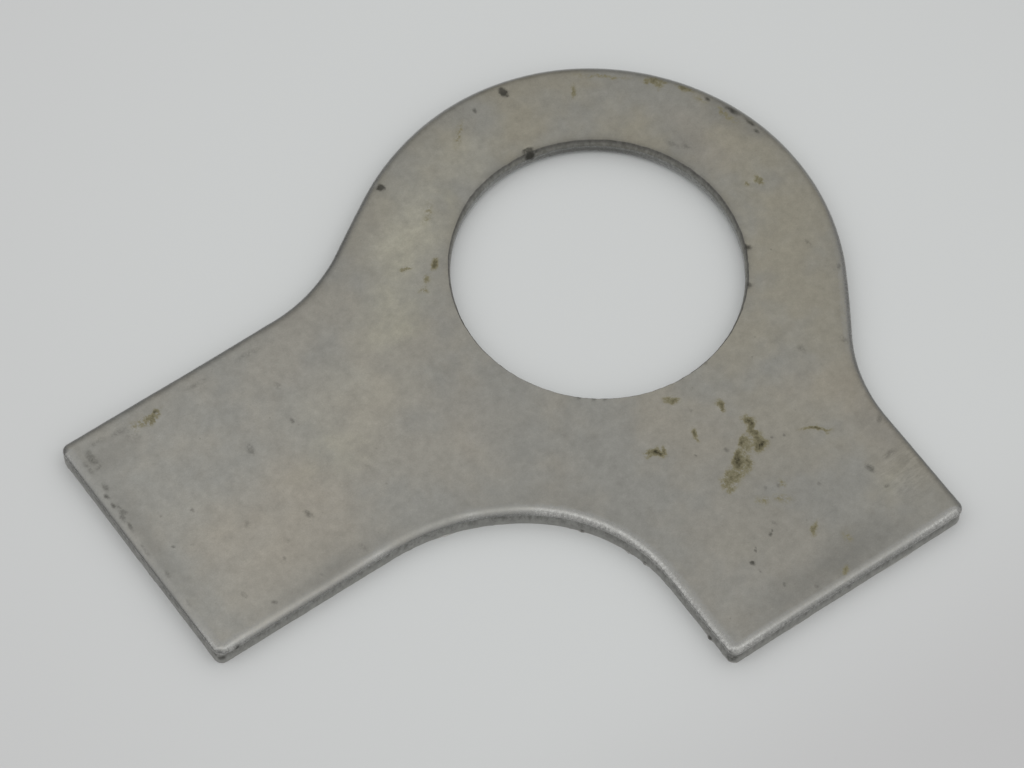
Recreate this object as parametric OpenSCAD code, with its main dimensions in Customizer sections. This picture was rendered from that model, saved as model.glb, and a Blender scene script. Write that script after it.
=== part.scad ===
// Lock tab: a flat washer stamped from sheet steel, with two unbent tabs at a right angle.
// The long tab points along -X and the short one along -Y. The bore's axis is the Z axis,
// and the underside lies on z = 0. All sizes are in mm.

/* [Sheet] */
// Thickness of the sheet
thickness = 2.5; // [1.8:0.1:4]

/* [Bore] */
// Diameter of the round hole
bore_diameter = 31; // [26:0.5:34]
// How far the hole's upper edge has broken out beyond the bore, measured along the radius
breakout_width = 0.25; // [0.1:0.05:0.5]
// Height of the torn zone at the top of the hole
breakout_height = 0.9; // [0.3:0.05:1]
// Radius of the drawn-in edge at the bottom of the hole
bore_edge_radius = 0.3; // [0.1:0.05:0.5]

/* [Ring] */
// Radius of the ring's rim
ring_radius = 26.227; // [25.5:0.001:28]
// How far the rim's centre lies off the crossing of the tabs' centre lines, toward -X
ring_shift_x = 0.25; // [0:0.05:1]
// How far the rim's centre lies off the crossing of the tabs' centre lines, toward -Y
ring_shift_y = 0.5; // [0:0.05:1]

/* [Tabs] */
// Length of the long tab, from the other tab's centre line to its end
long_tab_length = 57.6; // [50:0.1:65]
// Width of the long tab
long_tab_width = 29.25; // [26:0.05:30.5]
// Length of the short tab, from the other tab's centre line to its end
short_tab_length = 44.2; // [40:0.1:52]
// Width of the short tab
short_tab_width = 29.75; // [26:0.05:30.5]
// Radius of the tabs' outer corners
corner_radius = 1; // [1:0.1:3]
// How far the tabs' centre lines cross off the bore's axis, toward -X
offset_x = 0.65; // [0:0.05:1.5]
// How far the tabs' centre lines cross off the bore's axis, toward -Y
offset_y = 0.45; // [0:0.05:1.5]

/* [Blends] */
// Fillet between the rim's slanted tangent and the long tab
long_tab_fillet = 19.5; // [14:0.1:22]
// Fillet between the rim's slanted tangent and the short tab
short_tab_fillet = 18; // [12:0.1:22]
// Fillet in the crook between the tabs, on the long tab's side
crook_long_fillet = 23.4; // [18:0.1:28]
// Fillet in the crook between the tabs, on the short tab's side
crook_short_fillet = 17.5; // [15:0.1:20]
// Length of the flat between the crook's fillets
crook_flat = 0.25; // [0.05:0.05:3]

/* [Sheared edge] */
// Radius of the edge that the die has drawn in along the top of the outline
roll_radius = 1.1; // [0.8:0.05:1.2]
// Height of the smooth upright band below the drawn-in edge
burnish_height = 0.12; // [0.05:0.01:0.4]
// How far the torn wall leans in at the bottom of the outline
tear_draft = 0.1; // [0:0.01:0.2]

/* [Hidden] */
$fn = 96;
// Short sides of a 3-4-5 triangle and of a 336-527-625 triangle, per unit of the longest side.
// They set the slants, since their decimals end and so neighbouring faces meet exactly.
crook_run = 0.6;
crook_rise = 0.8;
shoulder_run = 0.5376;
shoulder_rise = 0.8432;
// The drawn-in edge turns through the crook's slant before it meets the upright band
roll_width = roll_radius * crook_rise;
roll_depth = roll_radius * (1 - crook_run);
bore_radius = bore_diameter / 2;
long_half = long_tab_width / 2;
short_half = short_tab_width / 2;
// Width of the strips that carry the edge, and how far inside the outline the core ends
strip_width = 4;
core_inset = 3.5;
// How far a cutter runs past the faces that it cuts, and a reach past the whole part
past = 1;
far = 200;
// How far a straight edge runs into the curves at its ends, so that they join as one solid
lap = 0.000002;

// Outward normals of the rim's two slanted tangents and of the middle of the crook
long_slant = [-shoulder_run, shoulder_rise];
short_slant = [shoulder_rise, -shoulder_run];
crook_slant = [-crook_run, -crook_rise];

// Centre of the rim, and how far its tangents lie from the crossing of the tabs' centre lines
ring_centre = [-ring_shift_x, -ring_shift_y];
long_shoulder = ring_radius + ring_centre * long_slant;
short_shoulder = ring_radius + ring_centre * short_slant;
// A fillet takes up its radius times the tangent of half its turn: a third or a half here
crook_span = crook_long_fillet / 3 + crook_flat + crook_short_fillet / 2;
crook_reach = crook_rise * long_half + crook_run * (short_half + crook_rise * crook_span);

// Centres of the four fillets
long_fillet_centre = [
    (shoulder_rise * (long_half + long_tab_fillet) - long_shoulder - long_tab_fillet)
        / shoulder_run,
    long_half + long_tab_fillet
];
short_fillet_centre = [
    short_half + short_tab_fillet,
    (shoulder_rise * (short_half + short_tab_fillet) - short_shoulder - short_tab_fillet)
        / shoulder_run
];
crook_long_centre = [
    (crook_rise * (long_half + crook_long_fillet) - crook_reach - crook_long_fillet)
        / crook_run,
    -long_half - crook_long_fillet
];
crook_short_centre = [
    -short_half - crook_short_fillet,
    (crook_run * (short_half + crook_short_fillet) - crook_reach - crook_short_fillet)
        / crook_rise
];

// Section of the sheet's edge at x = 0, with the material reaching back by width;
// side is 1 for material at x < 0 and -1 for material at x > 0
module edge_section(width, side = 1) {
    upright = thickness - roll_depth;
    torn = upright - burnish_height;
    polygon([
        [-side * width, 0],
        [-side * tear_draft, 0],
        [0, torn],
        [0, upright],
        [-side * roll_width, upright],
        [-side * roll_width, thickness],
        [-side * width, thickness]
    ]);
    intersection() {
        translate([-side * roll_width, thickness - roll_radius])
            circle(r = roll_radius);
        translate([-(1 + side) * roll_width / 2, upright])
            square([roll_width, roll_depth]);
    }
}

// Straight edge from a point, with its outward normal on the left as it runs;
// ahead and behind are its lengths on either side of the point
module straight_edge(point, normal, ahead, behind = 0) {
    way = [normal[1], -normal[0]];
    start = point - way * lap;
    multmatrix([
        [normal[0], 0, way[0], start[0]],
        [normal[1], 0, way[1], start[1]],
        [0, 1, 0, 0],
        [0, 0, 0, 1]
    ])
        translate([0, 0, -behind])
            linear_extrude(behind + ahead + 2 * lap)
                edge_section(strip_width);
}

// Everything between two directions that are less than half a turn apart
module sector(from, to) {
    translate([0, 0, -past])
        linear_extrude(thickness + 2 * past)
            polygon([[0, 0], from * far, (from + to) * far, to * far]);
}

// Fillet between two directions from its centre, with the material outside its radius
module fillet(centre, radius, from, to) {
    translate(centre)
        intersection() {
            rotate_extrude()
                translate([radius, 0])
                    edge_section(strip_width, -1);
            sector(from, to);
        }
}

// The round part of the rim
module rim() {
    translate(ring_centre)
        intersection() {
            rotate_extrude()
                translate([ring_radius, 0])
                    edge_section(strip_width);
            sector(short_slant, long_slant);
        }
}

// A tab's outer corner: a quarter turn from an angle
module corner(centre, angle) {
    translate(centre)
        rotate([0, 0, angle])
            rotate_extrude(angle = 90)
                translate([corner_radius, 0])
                    edge_section(corner_radius);
}

// The sheet inside the strips; its own outline stays hidden in them
module core() {
    ring_in = ring_radius - core_inset;
    linear_extrude(thickness) {
        translate(ring_centre)
            circle(r = ring_in);
        translate([core_inset - long_tab_length, core_inset - long_half])
            square([long_tab_length - core_inset, 2 * (long_half - core_inset)]);
        translate([core_inset - short_half, core_inset - short_tab_length])
            square([2 * (short_half - core_inset), short_tab_length - core_inset]);
        polygon([
            ring_centre,
            ring_centre + long_slant * ring_in,
            long_fillet_centre - long_slant * (long_tab_fillet + core_inset),
            long_fillet_centre - [0, long_tab_fillet + core_inset]
        ]);
        polygon([
            ring_centre,
            ring_centre + short_slant * ring_in,
            short_fillet_centre - short_slant * (short_tab_fillet + core_inset),
            short_fillet_centre - [short_tab_fillet + core_inset, 0]
        ]);
        polygon([
            ring_centre,
            crook_long_centre + [0, crook_long_fillet + core_inset],
            crook_long_centre - crook_slant * (crook_long_fillet + core_inset),
            crook_short_centre - crook_slant * (crook_short_fillet + core_inset),
            crook_short_centre + [crook_short_fillet + core_inset, 0]
        ]);
    }
}

// The stamped sheet before the bore, about the crossing of the tabs' centre lines
module blank() {
    long_end = long_tab_length - corner_radius;
    short_end = short_tab_length - corner_radius;
    long_side = long_half - corner_radius;
    short_side = short_half - corner_radius;
    long_bend = long_fillet_centre - long_slant * long_tab_fillet;
    short_bend = short_fillet_centre - short_slant * short_tab_fillet;
    long_rim_length = norm(ring_centre + long_slant * ring_radius - long_bend);
    short_rim_length = norm(ring_centre + short_slant * ring_radius - short_bend);

    core();
    rim();
    // Above the long tab
    straight_edge(long_bend, long_slant, long_rim_length);
    fillet(long_fillet_centre, long_tab_fillet, [0, -1], -long_slant);
    straight_edge([-long_end, long_half], [0, 1], long_end + long_fillet_centre[0]);
    // The long tab's end
    corner([-long_end, long_side], 90);
    straight_edge([-long_tab_length, -long_side], [-1, 0], 2 * long_side);
    corner([-long_end, -long_side], 180);
    // The crook between the tabs
    straight_edge([crook_long_centre[0], -long_half], [0, -1], long_end + crook_long_centre[0]);
    fillet(crook_long_centre, crook_long_fillet, -crook_slant, [0, 1]);
    straight_edge(crook_short_centre - crook_slant * crook_short_fillet, crook_slant, crook_flat);
    fillet(crook_short_centre, crook_short_fillet, [1, 0], -crook_slant);
    straight_edge([-short_half, -short_end], [-1, 0], short_end + crook_short_centre[1]);
    // The short tab's end
    corner([-short_side, -short_end], 180);
    straight_edge([short_side, -short_tab_length], [0, -1], 2 * short_side);
    corner([short_side, -short_end], 270);
    // From the short tab back to the rim
    straight_edge([short_half, short_fillet_centre[1]], [1, 0], short_end + short_fillet_centre[1]);
    fillet(short_fillet_centre, short_tab_fillet, -short_slant, [-1, 0]);
    straight_edge(short_bend, short_slant, 0, short_rim_length);
}

// The bore, drawn in a little at the bottom and broken out at the top
module bore() {
    edge_x = bore_radius + bore_edge_radius;
    rotate_extrude()
        difference() {
            polygon([
                [0, -past],
                [edge_x, -past],
                [edge_x, bore_edge_radius],
                [bore_radius, bore_edge_radius],
                [bore_radius, thickness - breakout_height],
                [bore_radius + breakout_width, thickness],
                [bore_radius + breakout_width, thickness + past],
                [0, thickness + past]
            ]);
            translate([edge_x, bore_edge_radius])
                circle(r = bore_edge_radius);
        }
}

module lock_tab() {
    color([0.54, 0.53, 0.5])
        difference() {
            translate([-offset_x, -offset_y, 0])
                blank();
            bore();
        }
}

lock_tab();
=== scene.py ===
"""Lock tab: the looks of the stamped sheet-steel washer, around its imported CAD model."""

import math

import bpy
import numpy as np
from mathutils import Matrix, Vector
from mathutils.geometry import delaunay_2d_cdt


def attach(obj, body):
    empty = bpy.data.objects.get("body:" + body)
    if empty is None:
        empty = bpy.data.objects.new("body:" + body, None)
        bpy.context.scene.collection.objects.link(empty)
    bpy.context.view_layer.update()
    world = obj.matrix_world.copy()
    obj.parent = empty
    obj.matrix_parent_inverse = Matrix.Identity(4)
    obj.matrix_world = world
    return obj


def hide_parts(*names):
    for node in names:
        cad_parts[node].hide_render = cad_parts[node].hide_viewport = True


MM = 0.001

# Sizes in mm, as in the part's source
THICKNESS = 2.5
BORE_RADIUS = 15.5
RING_RADIUS = 26.227
RING_CENTRE = (-0.25, -0.5)
LONG_TAB, LONG_HALF = 57.6, 14.625
SHORT_TAB, SHORT_HALF = 44.2, 14.875
CORNER = 1.0
OFFSET = np.array([0.65, 0.45])
LONG_SLANT = np.array([-0.5376, 0.8432])
SHORT_SLANT = np.array([0.8432, -0.5376])
CROOK_SLANT = np.array([-0.6, -0.8])
LONG_FILLET, LONG_FILLET_CENTRE = 19.5, np.array([-31.0, 34.125])
SHORT_FILLET, SHORT_FILLET_CENTRE = 18.0, np.array([32.875, -30.8125])
CROOK_LONG, CROOK_LONG_CENTRE = 23.4, np.array([-36.115, -38.025])
CROOK_SHORT, CROOK_SHORT_CENTRE = 17.5, np.array([-32.375, -33.455])

# The drawn-in edge: a wide roll that ends in a tight one, above the smooth band
ROLL_RADIUS, ROLL_TURN = 1.28, math.radians(44)
TIGHT_RADIUS = 0.12
BURNISH_BOTTOM = 1.97
TEAR_DRAFT = 0.1

# The hole's edge: how far its top is broken out, where the torn zone ends, and the radius of
# the drawn-in bottom
BREAKOUT = 0.29
BORE_TEAR = 1.6
BORE_ROLL = 0.9

# Spacing of the mesh: along the outline, around the hole, on the upper face, under the stains
# there, and on the underside
OUTLINE_STEP = 0.2
BORE_POINTS = 512
FACE_STEP, STAIN_STEP, UNDERSIDE_STEP = 0.5, 0.17, 0.9

# How many points are compared with a whole loop at a time
CHUNK = 1000

# The way over the sheet, away from the camera
FAR_WAY = np.array([0.64, 0.77])

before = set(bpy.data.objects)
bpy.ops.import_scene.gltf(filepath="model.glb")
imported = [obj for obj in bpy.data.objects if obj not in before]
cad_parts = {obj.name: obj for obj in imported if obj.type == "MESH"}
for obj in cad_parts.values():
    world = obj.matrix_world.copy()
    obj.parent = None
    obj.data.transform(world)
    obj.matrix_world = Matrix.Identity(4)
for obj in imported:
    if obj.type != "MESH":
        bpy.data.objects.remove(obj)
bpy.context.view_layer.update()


# The mesh

def line(start, end, normal, step):
    start, end = np.array(start, float), np.array(end, float)
    count = max(1, round(np.linalg.norm(end - start) / step))
    share = np.arange(count)[:, None] / count
    return start + (end - start) * share, np.tile(np.array(normal, float), (count, 1))


def arc(centre, radius, start, end, side, step):
    """side is 1 where the steel is inside the arc and -1 where it is outside."""
    start, end = math.radians(start), math.radians(end)
    count = max(3, math.ceil(abs(end - start) * radius / step))
    turn = start + (end - start) * np.arange(count) / count
    ray = np.stack([np.cos(turn), np.sin(turn)], 1)
    return np.array(centre) + radius * ray, side * ray


def heading(vector):
    return math.degrees(math.atan2(vector[1], vector[0]))


def outline(step):
    """Points and outward normals all round, anticlockwise from above."""
    long_end, long_side = LONG_TAB - CORNER, LONG_HALF - CORNER
    short_end, short_side = SHORT_TAB - CORNER, SHORT_HALF - CORNER
    rim = np.array(RING_CENTRE)
    long_bend = LONG_FILLET_CENTRE - LONG_SLANT * LONG_FILLET
    short_bend = SHORT_FILLET_CENTRE - SHORT_SLANT * SHORT_FILLET
    crook_a = CROOK_LONG_CENTRE - CROOK_SLANT * CROOK_LONG
    crook_b = CROOK_SHORT_CENTRE - CROOK_SLANT * CROOK_SHORT
    fine = step / 2
    parts = [
        arc(rim, RING_RADIUS, heading(SHORT_SLANT), heading(LONG_SLANT), 1, step),
        line(rim + LONG_SLANT * RING_RADIUS, long_bend, LONG_SLANT, step),
        arc(LONG_FILLET_CENTRE, LONG_FILLET, heading(-LONG_SLANT), -90, -1, step),
        line([LONG_FILLET_CENTRE[0], LONG_HALF], [-long_end, LONG_HALF], [0, 1], step),
        arc([-long_end, long_side], CORNER, 90, 180, 1, fine),
        line([-LONG_TAB, long_side], [-LONG_TAB, -long_side], [-1, 0], step),
        arc([-long_end, -long_side], CORNER, 180, 270, 1, fine),
        line([-long_end, -LONG_HALF], [CROOK_LONG_CENTRE[0], -LONG_HALF], [0, -1], step),
        arc(CROOK_LONG_CENTRE, CROOK_LONG, 90, heading(-CROOK_SLANT), -1, step),
        line(crook_a, crook_b, CROOK_SLANT, step),
        arc(CROOK_SHORT_CENTRE, CROOK_SHORT, heading(-CROOK_SLANT), 0, -1, step),
        line([-SHORT_HALF, CROOK_SHORT_CENTRE[1]], [-SHORT_HALF, -short_end], [-1, 0], step),
        arc([-short_side, -short_end], CORNER, 180, 270, 1, fine),
        line([-short_side, -SHORT_TAB], [short_side, -SHORT_TAB], [0, -1], step),
        arc([short_side, -short_end], CORNER, 270, 360, 1, fine),
        line([SHORT_HALF, -short_end], [SHORT_HALF, SHORT_FILLET_CENTRE[1]], [1, 0], step),
        arc(SHORT_FILLET_CENTRE, SHORT_FILLET, 180, heading(-SHORT_SLANT), -1, step),
        line(short_bend, rim + SHORT_SLANT * RING_RADIUS, SHORT_SLANT, step),
    ]
    points = np.concatenate([p for p, n in parts]) - OFFSET
    return points, np.concatenate([n for p, n in parts])


def ease(t):
    return t * t * (3 - 2 * t)


def grain(along, cell, length, seed):
    """Smooth noise from -1 to 1 along a line that closes on itself after length."""
    count = max(4, round(length / cell))
    # The mean of two draws is seldom near its ends
    ring = np.random.default_rng(seed).uniform(-1, 1, (2, count)).mean(0)
    place = along / length * count
    i = np.floor(place).astype(int)
    f = ease(place - i)
    return ring[i % count] * (1 - f) + ring[(i + 1) % count] * f


def ripple(along, length, *waves):
    """The sum of some noises along a closed line: each has a height, a cell and a seed."""
    return sum(height * grain(along, cell, length, seed) for height, cell, seed in waves)


def field(points, cell, seed):
    """Smooth noise from -1 to 1 over the sheet's plane."""
    cells, shift = 128, 100
    grid = np.random.default_rng(seed).uniform(-1, 1, (cells, cells))
    u = (points + shift) / cell
    i = np.floor(u).astype(int)
    f = ease(u - i)
    a, b = i % cells, (i + 1) % cells
    low = grid[a[:, 0], a[:, 1]] * (1 - f[:, 0]) + grid[b[:, 0], a[:, 1]] * f[:, 0]
    high = grid[a[:, 0], b[:, 1]] * (1 - f[:, 0]) + grid[b[:, 0], b[:, 1]] * f[:, 0]
    return low * (1 - f[:, 1]) + high * f[:, 1]


# Places where the real outline stands off the drawn one: x, y, reach and height in mm
BULGES = [
    (-17.4, 19.3, 6.0, 0.12),
    (-23.5, 16.5, 5.0, 0.06),
    (19.6, -17.8, 5.5, 0.12),
    (-8.5, 24.1, 9.0, -0.12),
    (-41.0, 14.2, 12.0, -0.07),
    (8.0, -44.6, 7.0, 0.07),
]


# Burrs that hang out from the lower edge: x, y, reach and height in mm
BURRS = [
    (-19.0, -23.4, 0.3, 0.13), (-16.6, -28.1, 0.3, 0.16), (-16.0, -30.1, 0.3, 0.16),
    (-15.5, -40.7, 0.35, 0.2),
]


def edge_rows():
    """The outline's edge from the top face down: loops of points, with their masks."""
    points, normals = outline(OUTLINE_STEP)
    gaps = np.linalg.norm(np.roll(points, -1, 0) - points, axis=1)
    along = np.concatenate([[0], np.cumsum(gaps)[:-1]])
    length = gaps.sum()
    out = ripple(along, length, (0.02, 7, 1), (0.008, 1.1, 2))
    for x, y, reach, height in BULGES:
        away = np.linalg.norm(points - (x, y), axis=1)
        out = out + height * np.exp(-(away / reach) ** 2)

    # Each row has a shift inward, a height, and the torn and drawn-and-sheen masks
    rows = []
    radius = ROLL_RADIUS * (1 + ripple(along, length, (0.03, 5, 3), (0.015, 0.9, 4)))
    width = radius * math.sin(ROLL_TURN) + TIGHT_RADIUS * (1 - math.sin(ROLL_TURN))
    # The lip is rubbed bright, with painted highlight toward the camera and painted shade on the
    # far side
    far_shade = np.clip(0.2 + 1.5 * normals @ FAR_WAY, 0, 1)
    for turn in np.linspace(0, ROLL_TURN, 8):
        part = (turn / ROLL_TURN) ** 2
        lip = (0.35 + 0.45 * part) * (1 - far_shade) + 0.6 * part * far_shade
        z = THICKNESS - radius * (1 - math.cos(turn))
        rows.append((width - radius * math.sin(turn), z, 0, lip))
    drop = THICKNESS - radius * (1 - math.cos(ROLL_TURN)) - TIGHT_RADIUS * math.cos(ROLL_TURN)
    for turn in np.radians([56, 68, 79, 90]):
        inward = TIGHT_RADIUS * (1 - math.sin(turn))
        rows.append((inward, drop + TIGHT_RADIUS * math.cos(turn), 0, 1))

    # The torn wall, with its ragged top, its chips and its burr
    tear = BURNISH_BOTTOM + ripple(along, length, (0.045, 1.3, 5), (0.025, 0.45, 6))
    rows.append((0.002, tear, 0, 1))
    chips = ripple(along, length, (0.03, 0.42, 7), (0.02, 1.6, 8), (0.012, 0.22, 9))
    for share in [0.02, *np.linspace(0.07, 0.97, 13)]:
        inward = 0.035 + TEAR_DRAFT * share + chips * min(1, share * 12)
        rows.append((inward, tear * (1 - share), 1, 0))
    burr = 0.07 * np.clip(grain(along, 1.7, length, 10), 0, 1)
    burr += 0.12 * np.clip(grain(along, 0.5, length, 11) - 0.35, 0, 1)
    for x, y, reach, height in BURRS:
        burr += height * np.exp(-(np.linalg.norm(points - (x, y), axis=1) / reach) ** 2)
    rows.append((TEAR_DRAFT + 0.03 - burr, 0, 1, 0))
    rows.append((TEAR_DRAFT + 0.45, 0, 0, 0))

    flat = np.zeros(len(points))
    loops = []
    for inward, z, torn, drawn in rows:
        xy = points + normals * (out - inward)[:, None]
        loops.append((np.column_stack([xy, z + flat]), torn + flat, drawn + flat))
    return loops


def bore_rows():
    """The bore's wall from the top face down: loops of points, with their masks."""
    turn = np.arange(BORE_POINTS) * 2 * math.pi / BORE_POINTS
    ray = np.stack([np.cos(turn), np.sin(turn)], 1)
    length = 2 * math.pi * BORE_RADIUS
    along = turn * BORE_RADIUS
    broken = BREAKOUT + ripple(along, length, (0.05, 2.5, 21), (0.04, 0.6, 22))
    broken = broken + 0.1 * np.clip(grain(along, 6, length, 23), 0, 1)
    tear = BORE_TEAR + ripple(along, length, (0.12, 3, 24), (0.05, 0.6, 25))
    chips = 0.025 * grain(along, 0.4, length, 26)

    # Each row has a shift outward, a height, and the torn and drawn-and-sheen masks
    rows = [(broken + 0.35, THICKNESS, 0, 0), (broken, THICKNESS, 0, 0)]
    for share, spread in [
        (0.05, 0.86), (0.13, 0.68), (0.24, 0.5), (0.38, 0.36),
        (0.55, 0.24), (0.75, 0.12), (0.95, 0.03),
    ]:
        z = THICKNESS + (tear - THICKNESS) * share
        rows.append((broken * spread + chips, z, 0.6, 0))
    for share in [1, 0.65, 0.3]:
        rows.append((0, share * tear + (1 - share) * BORE_ROLL, 0, 0.6))
    for angle in np.radians([0, 12, 24, 36, 48, 60, 75, 90]):
        rows.append((BORE_ROLL * (1 - math.cos(angle)), BORE_ROLL * (1 - math.sin(angle)), 0, 0.8))
    rows.append((BORE_ROLL + 0.4, 0, 0, 0))

    flat = np.zeros(BORE_POINTS)
    loops = []
    for outward, z, torn, drawn in rows:
        xy = ray * (BORE_RADIUS + outward + flat)[:, None]
        loops.append((np.column_stack([xy, z + flat]), torn + flat, drawn + flat))
    return loops


def inside(points, loop):
    """Whether each point lies inside a closed loop."""
    found = np.zeros(len(points), bool)
    a, b = loop, np.roll(loop, -1, 0)
    for first in range(0, len(points), CHUNK):
        p = points[first:first + CHUNK]
        above = (a[None, :, 1] > p[:, None, 1]) != (b[None, :, 1] > p[:, None, 1])
        rise = np.where(b[:, 1] == a[:, 1], 1e-12, b[:, 1] - a[:, 1])
        cross = a[None, :, 0] + (p[:, None, 1] - a[None, :, 1]) / rise * (b - a)[None, :, 0]
        found[first:first + CHUNK] = ((above & (p[:, None, 0] < cross)).sum(1) % 2) == 1
    return found


def clearance(points, others):
    """Distance of each point from the nearest of the others."""
    found = np.empty(len(points))
    for first in range(0, len(points), CHUNK):
        p = points[first:first + CHUNK]
        gap = ((p[:, None, :] - others[None, :, :]) ** 2).sum(2)
        found[first:first + CHUNK] = np.sqrt(gap.min(1))
    return found


def lattice(low, high, spacing, draw):
    """Points on a slightly uneven triangular grid."""
    rise = spacing * math.sqrt(3) / 2
    rows = []
    for k, y in enumerate(np.arange(low[1], high[1], rise)):
        x = np.arange(low[0] + (k % 2) * spacing / 2, high[0], spacing)
        rows.append(np.column_stack([x, np.full(len(x), y)]))
    points = np.concatenate(rows)
    return points + draw.uniform(-0.12, 0.12, points.shape) * spacing


def face_between(outer, inner, spacing, fine, seed):
    """Triangles between two loops in a plane: the new points, and the triples, which count the
    loops' points first. The grid is finer under the stains where fine is given."""
    margin = 0.25
    low, high = outer.min(0), outer.max(0)
    draw = np.random.default_rng(seed)
    loops = np.concatenate([outer, inner])
    grids = []
    for gap, close in [(spacing, False), (fine, True)]:
        if not gap:
            continue
        grid = lattice(low, high, gap, draw)
        if fine:
            reach = margin if close else margin + spacing * 0.4
            near = spots(grid, STAINS + DARK, 0, reach) > 0
            grid = grid[near == close]
        grid = grid[inside(grid, outer) & ~inside(grid, inner)]
        grids.append(grid[clearance(grid, loops) > gap * 0.62])
    extra = np.concatenate(grids)
    n, m = len(outer), len(inner)
    points = np.concatenate([outer, inner, extra])
    edges = [(i, (i + 1) % n) for i in range(n)]
    edges += [(n + i, n + (i + 1) % m) for i in range(m)]
    result = delaunay_2d_cdt([Vector(p) for p in points], edges, [], 0, 1e-7)
    source = [origin[0] for origin in result[3]]
    triangles = np.array([[source[v] for v in face] for face in result[2]])
    centres = points[triangles].mean(1)
    triangles = triangles[inside(centres, outer) & ~inside(centres, inner)]
    corners = points[triangles]
    a, b = corners[:, 1] - corners[:, 0], corners[:, 2] - corners[:, 0]
    turned = a[:, 0] * b[:, 1] - a[:, 1] * b[:, 0] < 0
    triangles[turned] = triangles[turned][:, ::-1]
    return extra, triangles


# Soft tints of the upper face: x, y, half length, half width, angle, strength
WARM = [
    (-45, -6, 14, 7, 10, 0.7), (-30, 2, 8, 6, 60, 0.5), (14, -30, 9, 12, 20, 0.8),
    (18, 8, 7, 5, 60, 0.6), (-2, -22, 9, 5, 0, 0.35), (-20, -8, 5, 6, 0, 0.4),
]
OLIVE = [
    (-15.5, 11.5, 6.5, 2.6, 35, 1.0), (-8.5, 16.3, 4.2, 1.8, 60, 0.7), (-22, 7, 7, 3.5, 20, 0.6),
    (-36, -2.5, 6, 3, 0, 0.35), (10.5, -38.5, 6, 3.5, 35, 0.5), (-7, -36, 6, 5, 0, 0.2),
]

# A pale, brushed stretch left of the bore
PALE = [
    (-14.5, 14.5, 10.5, 6, 35, 1.0), (-21, 8, 9, 6, 30, 0.5), (-4.5, 19.6, 7, 3.8, 12, 0.45),
    (-30, 1, 11, 8, 20, 0.3),
]

# Scuffs on the short tab
SCUFFED = [
    (12, -37.5, 5.5, 4, 30, 1.0), (14, -31, 4, 3, 60, 0.5),
]

# Painted shade and duller steel along the edges
DULL_AND_SHADED = [
    (-0.6, -42.4, 18, 4.6, 0, 1.0), (-44, -13.6, 15, 2.8, 0, 0.85), (-56.8, 0, 15, 2.8, 90, 0.75),
    (-55, 11, 5.5, 3.6, -20, 0.8), (-49, 12.6, 8, 2, 0, 0.35), (23.6, 6.7, 11, 3.6, 107, 1.0),
    (12.2, 21.9, 9, 2.6, 150, 0.45), (13.0, -33, 11, 3.0, 90, 0.5), (-27, -17.0, 8, 2.4, -12, 0.6),
    (-18.5, -21, 7, 2.4, -52, 0.4), (-1, -33, 15, 13, 90, 0.26), (-44, -11.5, 14, 5, 0, 0.25),
    (16.8, 7.4, 4.6, 3.2, 115, 0.55),
]

# Stretches of the drawn-in edge that dirt has dimmed, where its painted sheen is weaker too
SOILED = [
    (-58, 0, 18, 2.5, 90, 0.55), (-47, -15, 12, 2.5, 0, 0.46), (-33, -15.5, 7, 2.5, -10, 0.6),
    (-25.5, -18.5, 5, 2.5, -35, 0.45), (-1, -44.5, 14, 2, 0, 0.3), (-15, -38, 7, 2, 90, 0.15),
]

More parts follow.
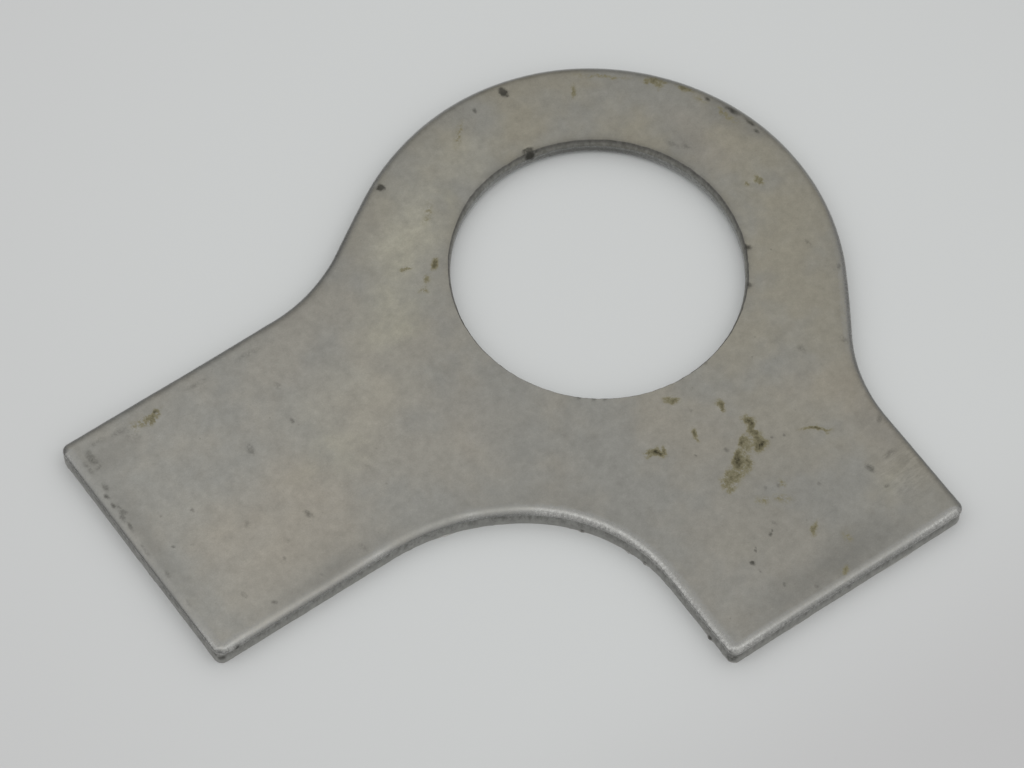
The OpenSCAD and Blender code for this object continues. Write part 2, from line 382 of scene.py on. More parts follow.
# Olive-brown stains: x, y, half length, half width, angle, strength
STAINS = [
    (1.5, -26.3, 1.25, 0.85, -60, 0.62), (0.3, -25.6, 1.5, 0.5, 38, 0.62),
    (-3.5, -28.3, 1.6, 1.2, 35, 0.4), (-0.1, -26.0, 2.76, 0.91, 37, 0.42),
    (-3.3, -28.2, 2.11, 1.07, 30, 0.5), (1.2, -26.3, 1.65, 0.83, 50, 0.5),
    (1.9, -23.9, 1.16, 0.43, 70, 1.0), (1.6, -25.0, 0.86, 0.36, -71, 0.8),
    (1.6, -26.0, 1.03, 0.53, -71, 0.9), (1.4, -26.7, 1.05, 0.49, 37, 1.0),
    (0.9, -26.6, 1.14, 0.49, 53, 0.75), (0.1, -25.3, 1.16, 0.43, 41, 0.8),
    (-1.6, -26.8, 1.96, 0.69, 42, 0.95), (-1.7, -26.9, 1.12, 0.49, 34, 1.0),
    (-1.4, -27.7, 1.5, 0.83, 26, 0.62), (-3.6, -28.1, 1.86, 0.99, 36, 0.55),
    (-4.3, -29.1, 0.81, 0.49, 34, 0.55), (-4.4, -28.2, 1.01, 0.58, -90, 0.35),
    (-8.2, -21.4, 1.15, 0.53, -45, 1.0), (-9.0, -21.1, 0.76, 0.53, -65, 0.55),
    (-7.5, -21.6, 0.72, 0.36, 45, 0.7), (-3.5, -21.7, 0.81, 0.33, 66, 0.85),
    (-3.8, -22.5, 0.57, 0.26, -84, 0.6), (-3.1, -17.1, 1.22, 0.59, -40, 0.62),
    (0.8, -20.5, 0.85, 0.49, 89, 0.7), (0.6, -21.1, 0.52, 0.33, 37, 0.6),
    (7.1, -28.4, 2.1, 0.16, -38, 0.75), (7.1, -28.4, 1.1, 0.2, -38, 1.05),
    (-0.1, -37.7, 1.39, 0.36, 39, 0.45), (2.2, -40.3, 0.84, 0.49, -65, 0.25),
    (-0.2, -43.3, 0.77, 0.43, 53, 0.7), (-2.4, -32.0, 1.17, 0.66, -35, 0.27),
    (-0.6, -32.9, 1.29, 0.66, -51, 0.27), (0.4, -31.6, 0.95, 0.49, 80, 0.22),
    (-48.5, 11.6, 1.21, 0.63, 11, 0.55), (-49.5, 11.7, 0.88, 0.49, 3, 0.3),
    (-47.8, 12.0, 0.43, 0.26, -14, 0.7), (-50.4, 11.8, 0.7, 0.49, 86, 0.25),
    (18.5, 15.3, 1.93, 0.43, -39, 0.6), (20.6, 12.7, 1.34, 0.4, -62, 0.6),
    (21.2, 10.6, 1.2, 0.43, -60, 0.3), (22.4, 7.4, 2.08, 0.36, -76, 0.38),
    (18.7, 14.7, 0.72, 0.33, -53, 0.6), (14.1, 19.0, 4.58, 0.3, -39, 0.28),
    (10.7, 19.1, 1.21, 0.33, 54, 0.35), (-13.8, 10.1, 1.02, 0.46, 44, 0.85),
    (-16.8, 11.2, 0.9, 0.26, -24, 0.5), (-15.5, 9.0, 0.86, 0.41, 19, 0.35),
    (-16.7, 8.3, 0.73, 0.33, 32, 0.3), (20.2, -1.1, 0.97, 0.49, -85, 0.45),
    (18.8, -0.6, 0.45, 0.33, -65, 0.4), (-2.6, 21.6, 2.41, 0.49, 43, 0.25),
    (-10.9, 15.6, 2.22, 0.66, 45, 0.2),
]

# Dark grey marks
DARK = [
    (4.4, 23.3, 0.95, 0.7, 80, 0.8), (0.5, 23.1, 0.47, 0.33, 78, 0.75),
    (-13.2, 21.0, 0.8, 0.55, -79, 0.8), (2.4, 15.7, 0.62, 0.4, -10, 1.0),
    (1.7, 15.8, 0.4, 0.25, -10, 0.6), (14.4, -6.9, 0.75, 0.5, -56, 1.1),
    (11.8, -10.6, 0.52, 0.36, -85, 0.8), (16.4, 6.8, 0.78, 0.49, -60, 0.35),
    (15.4, 7.8, 1.47, 0.49, -65, 0.25), (13.3, -31.2, 0.8, 0.42, 50, 0.4),
    (11.6, -35.1, 1.25, 0.49, 4, 0.4), (9.0, -35.3, 0.87, 0.49, -73, 0.6),
    (9.1, -37.9, 0.5, 0.33, -14, 0.5), (15.9, -21.6, 0.91, 0.58, 81, 0.35),
    (-7.6, -37.2, 0.43, 0.31, -65, 1.0), (-6.5, -36.3, 0.34, 0.21, 77, 0.8),
    (-6.2, -36.0, 0.24, 0.17, -84, 0.6), (-4.2, -35.6, 0.38, 0.25, 30, 0.8),
    (-3.7, -35.4, 0.28, 0.2, 13, 0.7), (-7.5, -38.4, 0.49, 0.15, 89, 0.45),
    (-1.4, -31.0, 0.34, 0.26, -84, 0.55), (-0.1, -31.5, 0.44, 0.26, 70, 0.5),
    (3.5, -33.8, 0.42, 0.3, 77, 0.45), (-2.0, -25.1, 0.48, 0.33, -84, 0.65),
    (-5.0, -23.9, 0.26, 0.18, -84, 0.6), (2.8, -26.7, 0.28, 0.23, -35, 0.75),
    (4.0, -27.2, 0.26, 0.18, -85, 0.6), (-3.0, -34.7, 0.79, 0.33, -65, 0.3),
    (-6.4, -41.1, 0.43, 0.25, 70, 0.45), (-3.9, -43.1, 0.41, 0.33, -84, 0.4),
    (-2.2, -19.4, 0.27, 0.21, -35, 0.5), (-42.2, 2.8, 1.0, 0.61, 79, 0.48),
    (-41.6, -6.8, 0.99, 0.49, -64, 0.48), (-36.8, 3.1, 0.5, 0.36, -83, 0.55),
    (-47.5, -4.3, 0.77, 0.56, 86, 0.28), (-51.1, 0.3, 0.46, 0.34, 80, 0.52),
    (-54.1, 1.5, 0.32, 0.24, -83, 0.48), (-55.1, -2.0, 0.32, 0.24, -83, 0.68),
    (-57.5, -0.2, 0.42, 0.26, -83, 0.5), (-53.4, -3.0, 0.36, 0.24, -64, 0.32),
    (-46.5, -9.6, 0.34, 0.26, -83, 0.48), (-44.5, -13.3, 0.3, 0.23, -83, 0.48),
    (-50.2, -13.2, 0.47, 0.36, -64, 0.6), (-52.2, -10.7, 0.69, 0.46, -83, 0.28),
    (-45.2, -8.0, 0.76, 0.56, -72, 0.2), (-47.8, 11.9, 0.37, 0.3, -83, 0.64),
    (-56.2, 11.2, 1.46, 0.74, -89, 0.55), (-56.3, 11.2, 0.56, 0.43, 80, 0.5),
    (-56.3, 9.9, 0.68, 0.43, 33, 0.45), (-56.9, 7.6, 0.86, 0.43, -88, 0.45),
    (-57.4, 6.6, 0.5, 0.3, 86, 0.9), (-57.4, 5.4, 0.55, 0.31, -83, 0.9),
    (-57.0, 4.1, 0.87, 0.4, -49, 0.5), (-57.4, 3.6, 0.88, 0.43, 83, 0.6),
    (-57.4, 2.3, 0.93, 0.3, 80, 0.6), (-57.0, 4.9, 0.45, 0.25, 86, 0.6),
    (-57.1, 10.4, 1.31, 0.49, 86, 0.35), (-57.6, -1.0, 0.93, 0.33, 86, 0.3),
    (-57.4, -4.4, 0.98, 0.33, 84, 0.3), (-57.4, -8.3, 0.66, 0.26, 86, 0.35),
    (-52.3, 12.2, 1.53, 0.56, -3, 0.28), (-54.7, 12.4, 1.49, 0.56, -1, 0.28),
    (-51.3, 11.0, 1.9, 0.95, -66, 0.2), (-58.7, -12.0, 0.65, 0.3, -89, 0.5),
    (-39.2, -13.1, 0.97, 0.56, -72, 0.2), (-33.5, -5.9, 1.16, 0.76, -72, 0.16),
    (-35.7, 7.3, 0.8, 0.47, -83, 0.32), (-42.4, 12.3, 2.27, 0.47, -2, 0.28),
    (-36.0, 12.2, 2.28, 0.47, -2, 0.24), (-14.7, -14.0, 1.29, 0.83, -84, 0.15),
    (-15.3, -0.5, 1.24, 0.83, 85, 0.15), (20.0, -10.1, 0.69, 0.33, 88, 0.3),
    (20.9, -14.2, 0.82, 0.33, 59, 0.5), (21.8, 10.2, 0.55, 0.36, -65, 1.05),
    (23.1, 7.6, 1.3, 0.34, -70, 1.05), (23.8, 5.3, 1.0, 0.32, -75, 1.05),
    (23.8, 4.0, 0.5, 0.28, -75, 0.9), (11.7, -20.0, 0.89, 0.58, -85, 0.35),
]

# Small pits with a near-black floor
PITS = [
    (4.4, 23.3, 0.8, 0.56, 80, 1.3), (4.5, 22.7, 0.3, 0.22, 60, 0.9),
    (-13.2, 21.0, 0.56, 0.5, -79, 1.3), (-13.0, 20.7, 0.28, 0.24, 0, 1.0),
    (2.3, 15.9, 0.75, 0.42, -10, 1.2), (-7.6, -37.2, 0.28, 0.17, -65, 1.1),
    (14.3, -6.8, 0.32, 0.26, -56, 0.9), (-6.5, -36.3, 0.24, 0.14, 77, 0.8),
]

# Dark spots on the walls: x, y, z, reach, strength
WALL_MARKS = [
    (2.3, 15.5, 1.9, 0.8, 1.3), (2.5, 15.5, 1.4, 0.42, 0.9), (3.1, 15.5, 2.2, 0.35, 0.8),
    (-57.8, -14.9, 1.2, 0.6, 0.8), (-58.2, -14.2, 1.6, 0.4, 0.6), (-56.0, -15.1, 1.9, 0.4, 0.9),
    (-19.0, -23.4, 0.1, 0.35, 0.75), (-16.6, -28.1, 0.2, 0.35, 0.9), (-16.0, -30.1, 0.2, 0.4, 0.9),
    (-57.9, -11.4, 0.6, 0.5, 0.6), (-15.4, -40.7, 0.1, 0.45, 1.0), (-15.2, -43.9, 0.6, 0.8, 0.6),
    (-15.0, -44.4, 1.2, 0.4, 0.7), (14.2, -41.3, 1.6, 0.5, 0.5),
]


def faded(away, core):
    """1 where away is up to core, falling to 0 where it is 1."""
    return ease(np.clip((1 - away) / (1 - core), 0, 1))


def spots(points, entries, core, grow=0.0):
    """The strongest of some soft ellipses at each point: full up to core of the way out, and
    nothing past the edge."""
    total = np.zeros(len(points))
    for x, y, long, short, angle, strength in entries:
        c, s = math.cos(math.radians(angle)), math.sin(math.radians(angle))
        dx, dy = points[:, 0] - x, points[:, 1] - y
        away = np.hypot((dx * c + dy * s) / (long + grow), (dy * c - dx * s) / (short + grow))
        total = np.maximum(total, strength * faded(away, core))
    return total


def shaken(points, cell, reach, seed):
    """The points, moved about by smooth noise."""
    noise = [field(points, cell, seed), field(points, cell, seed + 1)]
    return points + reach * np.column_stack(noise)


# Small dents: x, y, z, reach and depth in mm, and the way that they push
DENTS = [
    (-58.1, -14.9, 2.2, 0.55, 0.16, (0.7, 0.7, -0.3)),
    (-57.3, -15.1, 1.9, 0.45, 0.12, (0.3, 0.9, -0.3)),
    (-55.9, -15.1, 1.9, 0.4, 0.1, (0, 1, -0.2)),
    (2.35, 15.65, 2.5, 0.7, 0.22, (0.15, 1, -0.9)),
    (19.6, -0.9, 2.5, 0.5, 0.1, (1, 0, -0.9)),
    (14.3, -6.9, 2.5, 0.6, 0.15, (0.9, -0.4, -0.8)),
    (11.8, -10.6, 2.5, 0.55, 0.13, (0.75, -0.65, -0.8)),
    (-13.4, 21.3, 2.2, 0.6, 0.2, (0.5, -0.8, -0.4)),
    (4.55, 23.35, 2.5, 0.6, 0.09, (0, 0, -1)),
]


def bands(count, rows, first, outward):
    """Quads between neighbouring rows of count points each, from the point numbered first."""
    here = np.arange(count)
    ahead = np.roll(here, -1)
    quads = []
    for row in range(rows - 1):
        top, low = first + row * count, first + (row + 1) * count
        if outward:
            quad = [top + here, low + here, low + ahead, top + ahead]
        else:
            quad = [top + here, top + ahead, low + ahead, low + here]
        quads.append(np.column_stack(quad))
    return quads


def wall_masks(vertices, upper):
    """The polish and grime of the bore's wall and of the edges around it, partly painted sheen and
    shade.
    """
    plane, level = vertices[:, :2], vertices[:, 2]
    radius = np.hypot(plane[:, 0], plane[:, 1])
    hole = (np.abs(radius - BORE_RADIUS) < 1.0) & (level < THICKNESS - 0.001)
    turn = np.degrees(np.arctan2(plane[:, 1], plane[:, 0]))

    # The wall is soiled along its top; on the far side a band below it gets painted shade
    grime_and_shade = np.interp(
        level,
        [0, 0.5, 0.8, 1.1, 1.5, 2.0, 2.25, 2.45],
        [0, 0, 0.08, 0.1, 0, 0.05, 0.35, 0.7],
    )
    shaded_band = np.interp(
        level,
        [0, 0.25, 0.5, 0.8, 1.15, 1.5, 2.0, 2.25, 2.45],
        [0, 0.12, 0.5, 0.72, 0.68, 0.2, 0.12, 0.5, 0.75],
    )
    far_side = np.clip(1.15 * np.exp(-((turn - 56) / 26) ** 2), 0, 1)
    grime_and_shade += (shaded_band - grime_and_shade) * far_side

    # Its bottom is polished, with a painted sheen that is strongest on the right and left sides,
    # least on the far side
    polish_and_sheen = np.interp(level, [0, 0.4, 0.9, 1.3], [1, 0.8, 0.3, 0])
    right_side, left_side = np.clip((38 - turn) / 30, 0, 1), np.clip((turn - 85) / 25, 0, 1)
    polish_and_sheen = polish_and_sheen * (0.3 + 0.7 * right_side + 0.4 * left_side)

    # The upper face darkens along the rim of the hole too, most on the far side, and the outline's
    # far lip gets a painted sheen
    hole_rim = np.exp(-np.clip(radius - BORE_RADIUS - 0.3, 0, None) / 0.3)
    hole_rim *= np.clip(0.4 + plane @ FAR_WAY / 18, 0, 1)
    far_lip_sheen = 0.5 * np.clip(1.2 * plane @ FAR_WAY / 20, 0, 1)
    far_lip_sheen *= np.clip((2.42 - level) / 0.2, 0, 1) * (level > 1.7)
    return {
        "polish_and_sheen": np.where(hole, polish_and_sheen, far_lip_sheen),
        "grime_and_shade": np.where(hole, grime_and_shade, 0.45 * hole_rim * upper),
    }


def tint_masks(vertices, upper, rim_loop):
    """The tints, stains and marks of the upper face and the walls, and painted shade along the
    outline.
    """
    plane = vertices[:, :2]
    # Painted shade and duller steel darken the upper face along the outline
    rim = 0.34 * np.exp(-clearance(plane, rim_loop) / 1.5)
    rim = np.maximum(rim, spots(shaken(plane, 3, 0.8, 61), DULL_AND_SHADED, 0.0))
    wall_marks = np.zeros(len(vertices))
    for x, y, z, reach, strength in WALL_MARKS:
        away = np.linalg.norm(vertices - (x, y, z), axis=1) / reach
        wall_marks = np.maximum(wall_marks, strength * faded(away, 0.4))
    mark = spots(shaken(plane, 0.6, 0.1, 57), DARK, 0.2)
    pit = spots(shaken(plane, 0.35, 0.09, 67), PITS, 0.5)
    stained = shaken(shaken(plane, 1.1, 0.2, 55), 0.45, 0.12, 59)
    return {
        "rim": upper * rim,
        "warm": upper * spots(shaken(plane, 6, 3.5, 51), WARM, 0.1),
        "pale": upper * spots(shaken(plane, 4, 1.8, 63), PALE, 0.1),
        "scuff": upper * spots(shaken(plane, 2, 1.0, 65), SCUFFED, 0.2),
        "olive": upper * spots(shaken(plane, 5, 2.5, 53), OLIVE, 0.0),
        "stain": upper * spots(stained, STAINS, 0.1, 0.13),
        "mark": np.maximum(upper * np.maximum(mark, pit), wall_marks),
    }


def build():
    """The steel as one closed mesh, with its masks as attributes."""
    edge, bore = edge_rows(), bore_rows()
    n, m = len(edge[0][0]), len(bore[0][0])
    vertices, torn, drawn = (np.concatenate(part) for part in zip(*(edge + bore)))
    base = len(edge) * n
    quads = np.concatenate(bands(n, len(edge), 0, True) + bands(m, len(bore), base, False))
    triangles = []
    for outer_row, inner_row, spacing, fine, face_z, seed in [
        (0, 0, FACE_STEP, STAIN_STEP, THICKNESS, 31),
        (len(edge) - 1, len(bore) - 1, UNDERSIDE_STEP, None, 0, 32),
    ]:
        outer, inner = edge[outer_row][0][:, :2], bore[inner_row][0][:, :2]
        extra, found = face_between(outer, inner, spacing, fine, seed)
        index = np.concatenate([
            outer_row * n + np.arange(n),
            base + inner_row * m + np.arange(m),
            len(vertices) + np.arange(len(extra)),
        ])
        found = index[found]
        triangles.append(found if face_z else found[:, ::-1])
        extra = np.column_stack([extra, np.full(len(extra), face_z)])
        vertices = np.concatenate([vertices, extra])
        torn = np.concatenate([torn, np.zeros(len(extra))])
        drawn = np.concatenate([drawn, np.zeros(len(extra))])
    triangles = np.concatenate(triangles)

    # 1 on the upper face, falling to 0 down the edge
    upper = np.clip((vertices[:, 2] - 1.9) / 0.6, 0, 1)
    masks = {
        "torn": torn,
        "drawn": drawn * (1 - spots(vertices[:, :2], SOILED, 0.4)),
        # Painted reflection: the torn wall is painted lighter toward its foot
        "low": 0.8 * np.clip(1 - vertices[:, 2] / 1.5, 0, 1),
    }
    masks.update(wall_masks(vertices, upper))
    masks.update(tint_masks(vertices, upper, edge[0][0][::3, :2]))

    # The rolled sheet isn't quite flat, and it has a few dents
    plane = vertices[:, :2]
    swell = 0.008 * field(plane, 11, 41) + 0.003 * field(plane, 2.7, 42)
    vertices[:, 2] += upper * (swell - 0.008)
    for x, y, z, reach, depth, way in DENTS:
        away = np.linalg.norm(vertices - (x, y, z), axis=1) / reach
        push = np.array(way) / np.linalg.norm(way)
        vertices += (depth * np.exp(-away ** 2 * 2.2) * (away < 2))[:, None] * push

    mesh = bpy.data.meshes.new("lock_tab_steel")
    faces = [tuple(face) for face in quads.tolist() + triangles.tolist()]
    mesh.from_pydata((vertices * MM).tolist(), [], faces)
    mesh.update()
    for name, values in masks.items():
        attribute = mesh.attributes.new(name, "FLOAT", "POINT")
        attribute.data.foreach_set("value", values.astype(np.float32))
    mesh.shade_smooth()
    mesh.set_sharp_from_angle(angle=math.radians(38))
    piece = bpy.data.objects.new("lock_tab_steel", mesh)
    bpy.context.scene.collection.objects.link(piece)
    return piece


# The material

# Linear colours of the steel
COOL_STEEL = (0.280, 0.270, 0.243, 1)
WARM_STEEL = (0.278, 0.263, 0.217, 1)
GRAY_STEEL = (0.251, 0.253, 0.241, 1)
WARM_TINT = (0.315, 0.284, 0.235, 1)
OLIVE_TINT = (0.322, 0.306, 0.228, 1)
PALE_TINT = (0.362, 0.350, 0.292, 1)
DULL_AND_SHADE_TINT = (0.186, 0.184, 0.172, 1)
SPECK = (0.12, 0.115, 0.10, 1)
STAIN_HALO = (0.205, 0.188, 0.120, 1)
STAIN_BODY = (0.140, 0.127, 0.080, 1)
STAIN_CORE = (0.052, 0.048, 0.031, 1)
RUBBED = (0.236, 0.236, 0.226, 1)
CLEAN_AND_SHEEN = (0.400, 0.398, 0.382, 1)
TORN_DARK = (0.195, 0.191, 0.178, 1)
TORN_LIGHT = (0.395, 0.391, 0.372, 1)
TORN_FOOT_REFLECTION = (0.500, 0.495, 0.475, 1)
POLISHED_AND_SHEEN = (0.560, 0.555, 0.535, 1)
GRIME_AND_SHADE = (0.085, 0.082, 0.074, 1)
MARK = (0.055, 0.053, 0.045, 1)


class Nodes:
    """Short calls that add nodes to a material or world and link them."""

    def __init__(self, owner):
        owner.use_nodes = True
        self.tree = owner.node_tree
        self.tree.nodes.clear()

    def fill(self, socket, value):
        if isinstance(value, bpy.types.NodeSocket):
            self.tree.links.new(value, socket)
        else:
            socket.default_value = value

    def add(self, kind, inputs=None, **settings):
        node = self.tree.nodes.new(kind)
        for name, value in settings.items():
            setattr(node, name, value)
        for name, value in (inputs or {}).items():
            self.fill(node.inputs[name], value)
        return node

    def math(self, operation, a, b=0.0, c=0.0):
        return self.add("ShaderNodeMath", {0: a, 1: b, 2: c}, operation=operation).outputs[0]

    def times(self, first, *others):
        for other in others:
            first = self.math("MULTIPLY", first, other)
        return first

    def vector(self, operation, a, b):
        return self.add("ShaderNodeVectorMath", {0: a, 1: b}, operation=operation).outputs[0]

    def moved(self, place, shift):
        return self.vector("ADD", place, shift)

    def stretched(self, place, turn, scale):
        inputs = {"Vector": place, "Rotation": (0, 0, turn), "Scale": scale}
        return self.add("ShaderNodeMapping", inputs).outputs[0]

    def noise(self, place, scale, detail=2.0, rough=0.5, twist=0.0):
        node = self.add("ShaderNodeTexNoise", {
            "Vector": place,
            "Scale": scale,
            "Detail": detail,
            "Roughness": rough,
            "Distortion": twist,
        })
        return node.outputs["Fac"]

    def ramp(self, value, low, high, to_low=0.0, to_high=1.0, kind="SMOOTHSTEP"):
        return self.add("ShaderNodeMapRange", {
            "Value": value,
            "From Min": low,
            "From Max": high,
            "To Min": to_low,
            "To Max": to_high,
        }, interpolation_type=kind).outputs[0]

    def linear(self, value, low, high, to_low, to_high):
        return self.ramp(value, low, high, to_low, to_high, "LINEAR")

    def mix(self, share, a, b, blend="MIX"):
        node = self.add("ShaderNodeMix", data_type="RGBA", blend_type=blend)
        # Sockets 0, 6 and 7 are the share and the two colours
        for index, value in ((0, share), (6, a), (7, b)):
            self.fill(node.inputs[index], value)
        return node.outputs[2]

    def scaled(self, color, factor):
        channels = {0: factor, 1: factor, 2: factor}
        gray = self.add("ShaderNodeCombineColor", channels).outputs[0]
        return self.mix(1.0, color, gray, "MULTIPLY")

    def mask(self, name):
        return self.add("ShaderNodeAttribute", attribute_name=name).outputs["Fac"]


def steel():
    """Rolled, stained steel. Places are in mm, and the masks are the mesh's attributes."""
    material = bpy.data.materials.new("bare_steel")
    nodes = Nodes(material)
    place = nodes.add("ShaderNodeTexCoord").outputs["Object"]
    place = nodes.vector("MULTIPLY", place, (1 / MM, 1 / MM, 1 / MM))
    x, y, _ = nodes.add("ShaderNodeSeparateXYZ", {0: place}).outputs
    torn, drawn = nodes.mask("torn"), nodes.mask("drawn")

    # The rolled surface: broad warm and cool patches, a mottle, and a fine speckle
    broad = nodes.noise(nodes.moved(place, (7, 3, 0)), 0.11, 3.0, 0.55)
    patch = nodes.noise(nodes.moved(place, (31, 17, 0)), 0.42, 4.0, 0.6)
    blotch = nodes.noise(nodes.moved(place, (5, 41, 0)), 1.1, 3.0, 0.6)
    speck = nodes.noise(place, 2.6, 3.0, 0.7)
    dust = nodes.noise(place, 6.0, 2.0, 0.6)
    drift = nodes.math("MULTIPLY_ADD", y, 0.5, x)
    color = nodes.mix(nodes.ramp(drift, -30, 18), COOL_STEEL, WARM_STEEL)
    color = nodes.mix(nodes.ramp(broad, 0.36, 0.64, 0.75, 0.0), color, GRAY_STEEL)
    color = nodes.mix(nodes.times(nodes.mask("warm"), 0.6), color, WARM_TINT)
    olive = nodes.times(nodes.mask("olive"), nodes.ramp(patch, 0.3, 0.7, 0.4, 1.0))
    color = nodes.mix(nodes.times(olive, 0.6), color, OLIVE_TINT)
    pale = nodes.times(nodes.mask("pale"), nodes.ramp(patch, 0.25, 0.7, 0.55, 0.95))
    color = nodes.mix(pale, color, PALE_TINT)
    # Painted shade and duller steel along the edges
    rim = nodes.times(nodes.mask("rim"), nodes.ramp(patch, 0.25, 0.7, 0.55, 1.0))
    color = nodes.mix(rim, color, DULL_AND_SHADE_TINT)
    # Painted light makes the long tab brighter than the ring, and noise varies the tone
    light_and_tone = nodes.linear(x, -58, -15, 1.145, 0.985)
    light_and_tone = nodes.times(light_and_tone, nodes.linear(patch, 0.25, 0.75, 0.87, 1.13))
    light_and_tone = nodes.times(light_and_tone, nodes.linear(blotch, 0.25, 0.75, 0.92, 1.08))
    light_and_tone = nodes.times(light_and_tone, nodes.linear(speck, 0.25, 0.75, 0.91, 1.09))
    light_and_tone = nodes.times(light_and_tone, nodes.linear(dust, 0.25, 0.75, 0.94, 1.06))
    color = nodes.scaled(color, light_and_tone)

    # Fine scuffs on the short tab
    lines = nodes.noise(nodes.stretched(place, -0.9, (0.4, 2.3, 1.0)), 1.0, 2.0, 0.5, 1.2)
    scuff = nodes.times(nodes.mask("scuff"), nodes.linear(lines, 0.38, 0.64, -0.1, 0.08))
    color = nodes.scaled(color, nodes.math("ADD", scuff, 1.0))

    # Small dark specks all over, denser in places
    cells = nodes.add("ShaderNodeTexVoronoi", {"Vector": place, "Scale": 0.55, "Randomness": 1.0})
    dots = nodes.ramp(cells.outputs["Distance"], 0.085, 0.03)
    chance = nodes.add("ShaderNodeSeparateColor", {0: cells.outputs["Color"]}).outputs[0]
    dots = nodes.times(dots, nodes.ramp(chance, 0.55, 0.75))
    dots = nodes.times(dots, nodes.ramp(broad, 0.35, 0.6, 0.2, 1.0))
    color = nodes.mix(nodes.times(dots, 0.45), color, SPECK)

    # The stains have a dark core and a yellowish halo, and noise eats at their edges
    eaten = nodes.noise(place, 1.7, 4.0, 0.7)
    fine = nodes.noise(nodes.moved(place, (3, 9, 0)), 4.5, 2.0, 0.6)
    nibble = nodes.linear(eaten, 0.3, 0.7, -0.34, 0.26)
    nibble = nodes.math("ADD", nibble, nodes.linear(fine, 0.3, 0.7, -0.2, 0.18))
    stain, mark = nodes.mask("stain"), nodes.mask("mark")
    blots = nodes.math("ADD", stain, nodes.times(nibble, nodes.ramp(stain, 0.0, 0.25)))
    color = nodes.mix(nodes.ramp(blots, -0.1, 0.4, 0.0, 0.92), color, STAIN_HALO)
    color = nodes.mix(nodes.ramp(blots, 0.35, 0.85), color, STAIN_BODY)
    color = nodes.mix(nodes.ramp(blots, 0.8, 1.2), color, STAIN_CORE)
    marks = nodes.math("ADD", mark, nodes.times(nibble, nodes.ramp(mark, 0.0, 0.3, 0.0, 0.8)))
    marks = nodes.linear(marks, 0.02, 1.05, 0.0, 0.9)

    # The drawn-in edge is rubbed clean and carries painted sheen, with fine painted glints
    rub = nodes.noise(nodes.vector("MULTIPLY", place, (1, 1, 0.5)), 3.4, 3.0, 0.65)
    grit = nodes.noise(place, 5.5, 4.0, 0.65)
    clean_and_sheen = nodes.times(drawn, nodes.ramp(rub, 0.3, 0.7, 0.62, 1.0))
    color = nodes.mix(nodes.ramp(clean_and_sheen, 0.05, 0.4), color, RUBBED)
    color = nodes.mix(nodes.ramp(clean_and_sheen, 0.3, 0.75), color, CLEAN_AND_SHEEN)
    glint = nodes.times(nodes.ramp(clean_and_sheen, 0.1, 0.6), nodes.linear(grit, 0.36, 0.66, -0.22, 0.26))
    color = nodes.scaled(color, nodes.math("ADD", glint, 1.0))

    # The torn wall is dark and streaked, with painted reflection lighter toward its foot; the
    # hole's wall is polished and soiled, with painted sheen and shade
    streak = nodes.noise(nodes.vector("MULTIPLY", place, (1, 1, 0.45)), 2.0, 4.0, 0.7)
    wall = nodes.mix(nodes.ramp(streak, 0.3, 0.7), TORN_DARK, TORN_LIGHT)
    wall = nodes.mix(nodes.mask("low"), wall, TORN_FOOT_REFLECTION)
    color = nodes.mix(torn, color, wall)
    # Polish, with painted sheen on the hole's sides and on the outline's far lip
    polish_and_sheen = nodes.mask("polish_and_sheen")
    color = nodes.mix(polish_and_sheen, color, POLISHED_AND_SHEEN)
    # Soil along the hole's top, and painted shade in a band on its far side
    grime_and_shade = nodes.times(nodes.mask("grime_and_shade"), nodes.ramp(rub, 0.25, 0.6, 0.75, 1.0))
    color = nodes.mix(grime_and_shade, color, GRIME_AND_SHADE)
    color = nodes.mix(marks, color, MARK)

    # The clean edge and the polished wall are smoother, the torn wall and the stains rougher
    rough = nodes.linear(patch, 0.3, 0.7, 0.46, 0.56)
    rough = nodes.math("ADD", rough, nodes.linear(speck, 0.3, 0.7, -0.04, 0.04))
    smooth = nodes.times(nodes.ramp(drawn, 0.1, 0.45), nodes.linear(rub, 0.3, 0.7, 0.21, 0.29))
    rough = nodes.math("SUBTRACT", rough, smooth)
    rough = nodes.math("ADD", rough, nodes.times(torn, 0.14))
    rough = nodes.math("SUBTRACT", rough, nodes.times(polish_and_sheen, 0.1))
    rough = nodes.math("ADD", rough, nodes.times(nodes.ramp(blots, 0.1, 0.6), 0.12))

    # Relief in mm: the rolled grain, light scratches, the specks, and the torn wall's streaks
    scratch = nodes.noise(nodes.stretched(place, 0.6, (0.35, 7.0, 1.0)), 1.0, 3.0, 0.6)
    height = nodes.math("ADD", nodes.times(grit, 0.006), nodes.times(scratch, 0.002))
    height = nodes.math("SUBTRACT", height, nodes.times(dots, 0.006))
    height = nodes.times(height, nodes.ramp(drawn, 0.0, 0.5, 1.0, 0.8))
    height = nodes.math("ADD", height, nodes.times(torn, streak, 0.05))
    bump = nodes.add("ShaderNodeBump", {"Height": height, "Strength": 1.0, "Distance": MM})

    shader = nodes.add("ShaderNodeBsdfPrincipled", {
        "Base Color": color,
        "Roughness": rough,
        "Metallic": 1.0,
        "Normal": bump.outputs[0],
    })
    nodes.add("ShaderNodeOutputMaterial", {"Surface": shader.outputs[0]})
    return material


piece = build()
piece.data.materials.append(steel())
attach(piece, "root")
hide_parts("lock_tab")


# Paper, light and camera

# Linear colours of the paper: two tones around the part, and painted shade away from it and in
# front
PAPER, PALER_PAPER = (0.584, 0.597, 0.593, 1), (0.600, 0.613, 0.609, 1)
SHADED_AWAY_PAPER = (0.536, 0.536, 0.536, 1)
SHADED_FRONT_PAPER = (0.522, 0.522, 0.522, 1)


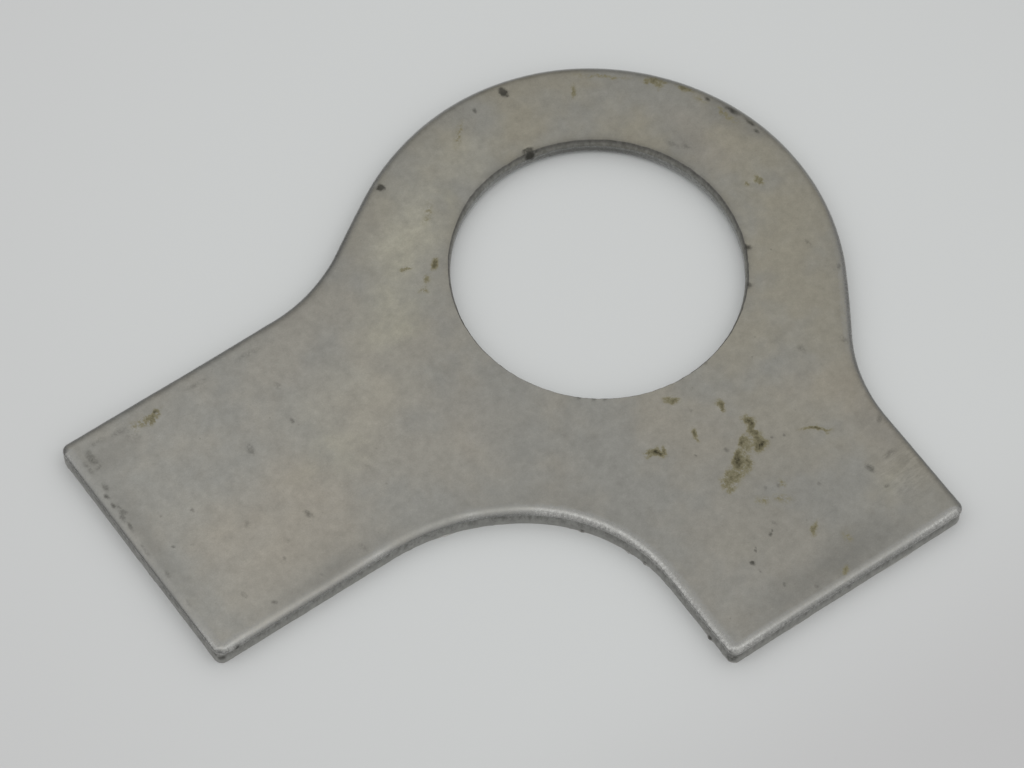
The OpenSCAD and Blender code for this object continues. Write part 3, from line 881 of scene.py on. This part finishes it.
def paper():
    """Pale paper with painted shade that darkens it a little away from the part and in front."""
    material = bpy.data.materials.new("pale_paper")
    nodes = Nodes(material)
    place = nodes.add("ShaderNodeTexCoord").outputs["Object"]
    tone = nodes.noise(place, 9.0, 3.0, 0.5)
    color = nodes.mix(tone, PAPER, PALER_PAPER)
    away = nodes.add("ShaderNodeVectorMath", {0: place}, operation="LENGTH").outputs["Value"]
    # Painted shade away from the part and toward the front
    color = nodes.mix(nodes.ramp(away, 0.03, 0.12), color, SHADED_AWAY_PAPER)
    front = nodes.add("ShaderNodeSeparateXYZ", {0: place}).outputs[1]
    color = nodes.mix(nodes.ramp(front, -0.036, -0.07), color, SHADED_FRONT_PAPER)
    shader = nodes.add("ShaderNodeBsdfPrincipled", {
        "Base Color": color, "Roughness": 0.9, "Specular IOR Level": 0.1,
    })
    nodes.add("ShaderNodeOutputMaterial", {"Surface": shader.outputs[0]})
    return material


# The paper lies a hair below the underside, so that the two don't share a plane
bpy.ops.mesh.primitive_plane_add(size=8, location=(0, 0, -0.02 * MM))
floor = bpy.context.object
floor.name = "floor"
floor.data.materials.append(paper())

world = bpy.data.worlds.new("soft_room")
bpy.context.scene.world = world
sky = Nodes(world)
way = sky.add("ShaderNodeTexCoord").outputs["Generated"]
height = sky.add("ShaderNodeSeparateXYZ", {0: way}).outputs[2]
glow = sky.linear(height, 0.32, 1.0, 0.42, 1.25)
# A little more of it comes from the photo's right
toward_right = {0: way, 1: (0.77, -0.64, 0)}
right = sky.add("ShaderNodeVectorMath", toward_right, operation="DOT_PRODUCT").outputs["Value"]
glow = sky.times(glow, sky.math("MULTIPLY_ADD", right, 0.22, 1.0))
background = sky.add("ShaderNodeBackground", {"Color": (1.0, 1.0, 1.0, 1), "Strength": glow})
sky.add("ShaderNodeOutputWorld", {"Surface": background.outputs[0]})


def lamp(name, place, target, along, width, height, power):
    """An area lamp at place that faces target, with its width along a direction."""
    data = bpy.data.lights.new(name, "AREA")
    data.shape = "RECTANGLE"
    data.size, data.size_y = width, height
    data.energy = power
    light = bpy.data.objects.new(name, data)
    bpy.context.scene.collection.objects.link(light)
    back = (Vector(place) - Vector(target)).normalized()
    side = (Vector(along) - back * back.dot(Vector(along))).normalized()
    turn = Matrix((side, back.cross(side), back)).transposed().to_4x4()
    light.matrix_world = Matrix.Translation(place) @ turn


# A long, narrow softbox high on the photo's left, which the rolled edges mirror
lamp(
    "softbox",
    place=(-0.25, 0.0, 0.80),
    target=(0, 0, 0),
    along=(0.804, -0.56, 0.202),
    width=2.1,
    height=0.34,
    power=1.75,
)

# The camera is fitted to the outline in the photo
camera = bpy.data.objects.new("camera", bpy.data.cameras.new("camera"))
bpy.context.scene.collection.objects.link(camera)
camera.location = (-0.203605, -0.240819, 0.536123)
camera.rotation_euler = (0.5122002, -0.0303921, -0.6216430)
camera.data.sensor_fit = "HORIZONTAL"
camera.data.sensor_width = 36
camera.data.lens = 207.874
camera.data.clip_start = 0.01
camera.data.clip_end = 50
bpy.context.scene.camera = camera
bpy.context.scene.view_settings.view_transform = "Standard"
